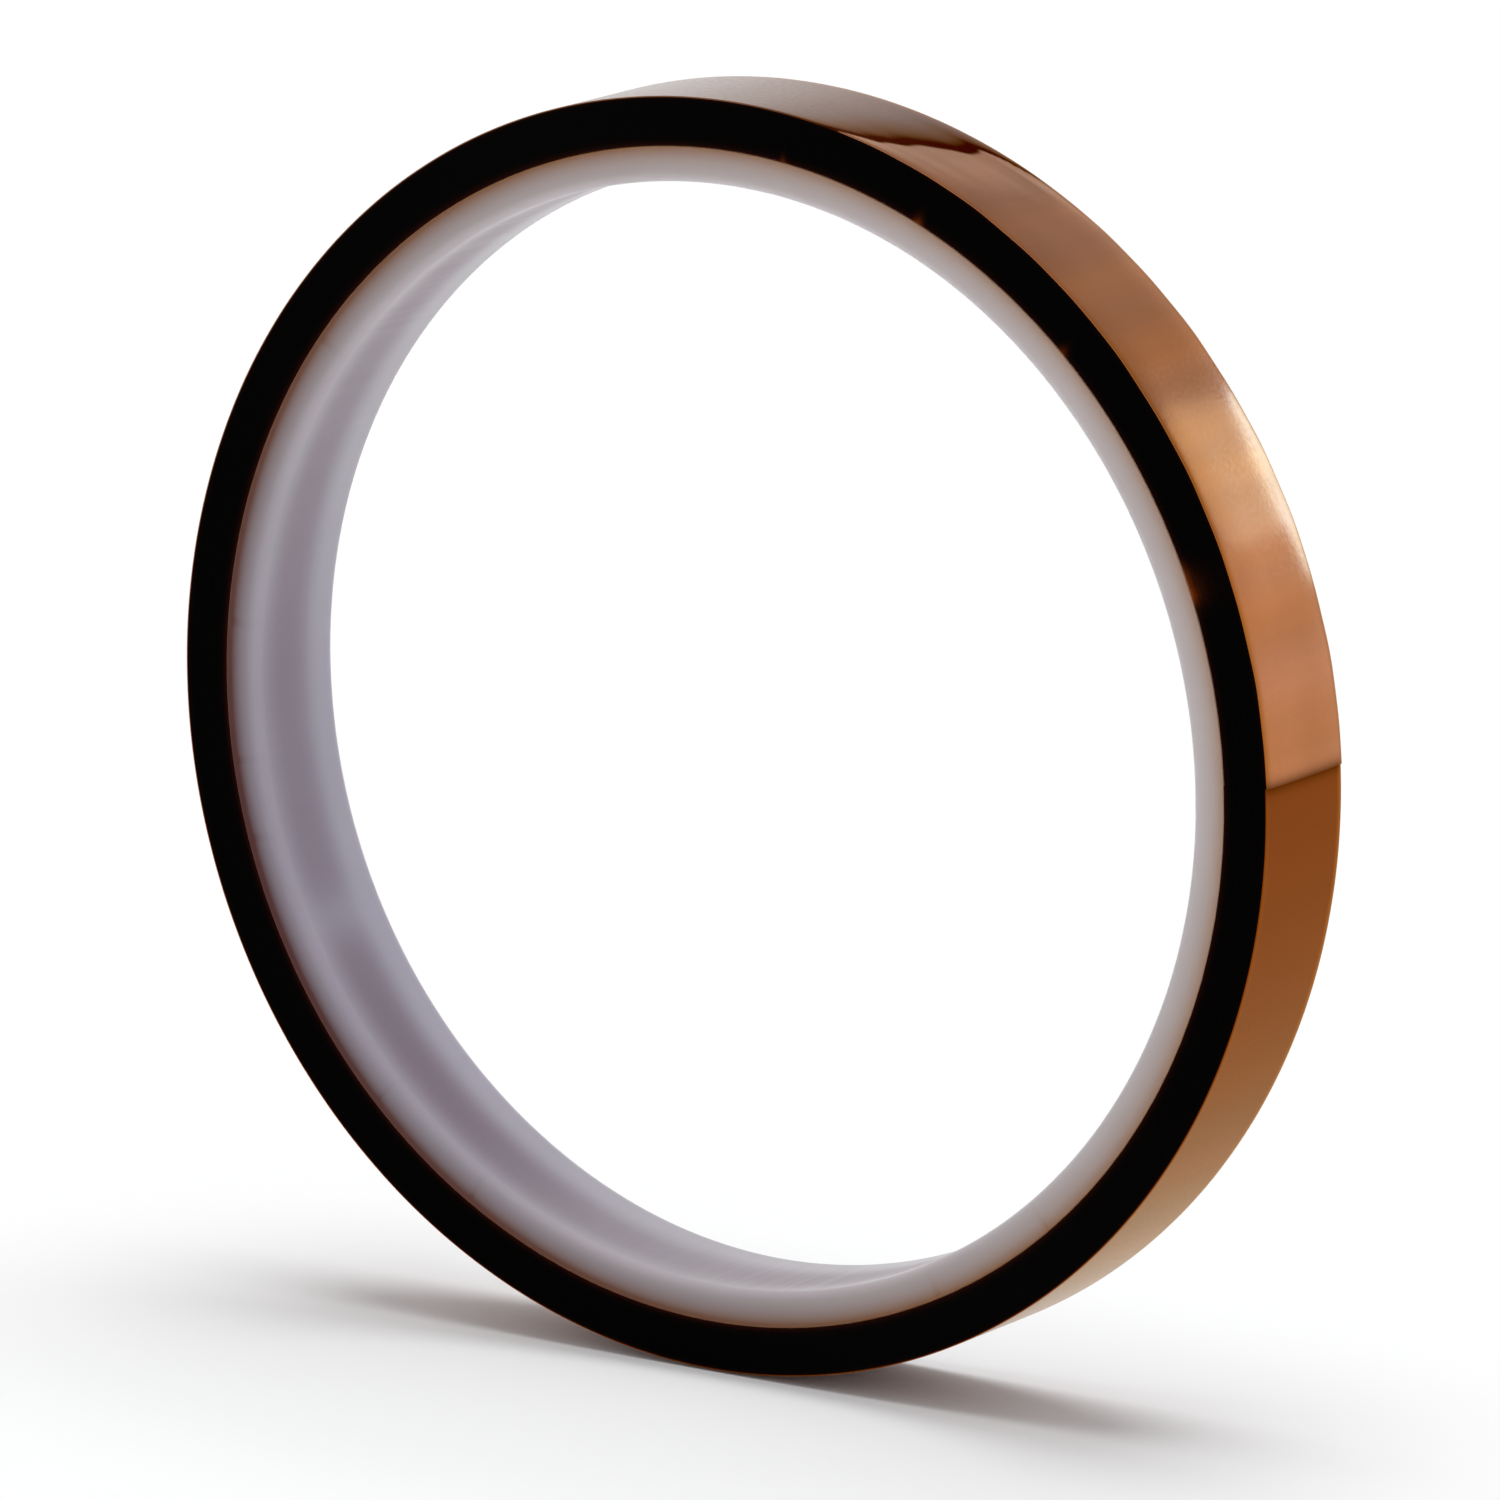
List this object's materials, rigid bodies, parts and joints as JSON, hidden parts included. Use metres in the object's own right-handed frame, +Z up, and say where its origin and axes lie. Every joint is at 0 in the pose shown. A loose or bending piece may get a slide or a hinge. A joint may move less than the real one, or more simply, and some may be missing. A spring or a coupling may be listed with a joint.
{
  "type": "tape roll",
  "caption": "Narrow roll of glossy copper-coloured film tape wound on a milky plastic core, with a loose cut end that lifts from the roll.",
  "frame": {"origin": "centre of the bore, halfway across the tape's width", "axes": "+Y along the roll's axis, +Z up with the roll standing on its rim, +X towards the side where the tape's cut end lies"},
  "size_m": [0.089, 0.0094, 0.089],
  "materials": {
    "core_plastic": "satin",
    "tape_edge": "satin",
    "film": "gloss"
  },
  "bodies": {
    "roll": {"core": "core_plastic", "wound_tape": "tape_edge", "last_turn": "film"},
    "loose_end": {"loose_end": "film"}
  },
  "joints": [
    {"name": "end_peel", "type": "hinge", "parent": "roll", "child": "loose_end", "pos_m": [0.01377, 0, 0.04237], "axis": [0, -1, 0], "range_deg": [0, 90]}
  ]
}
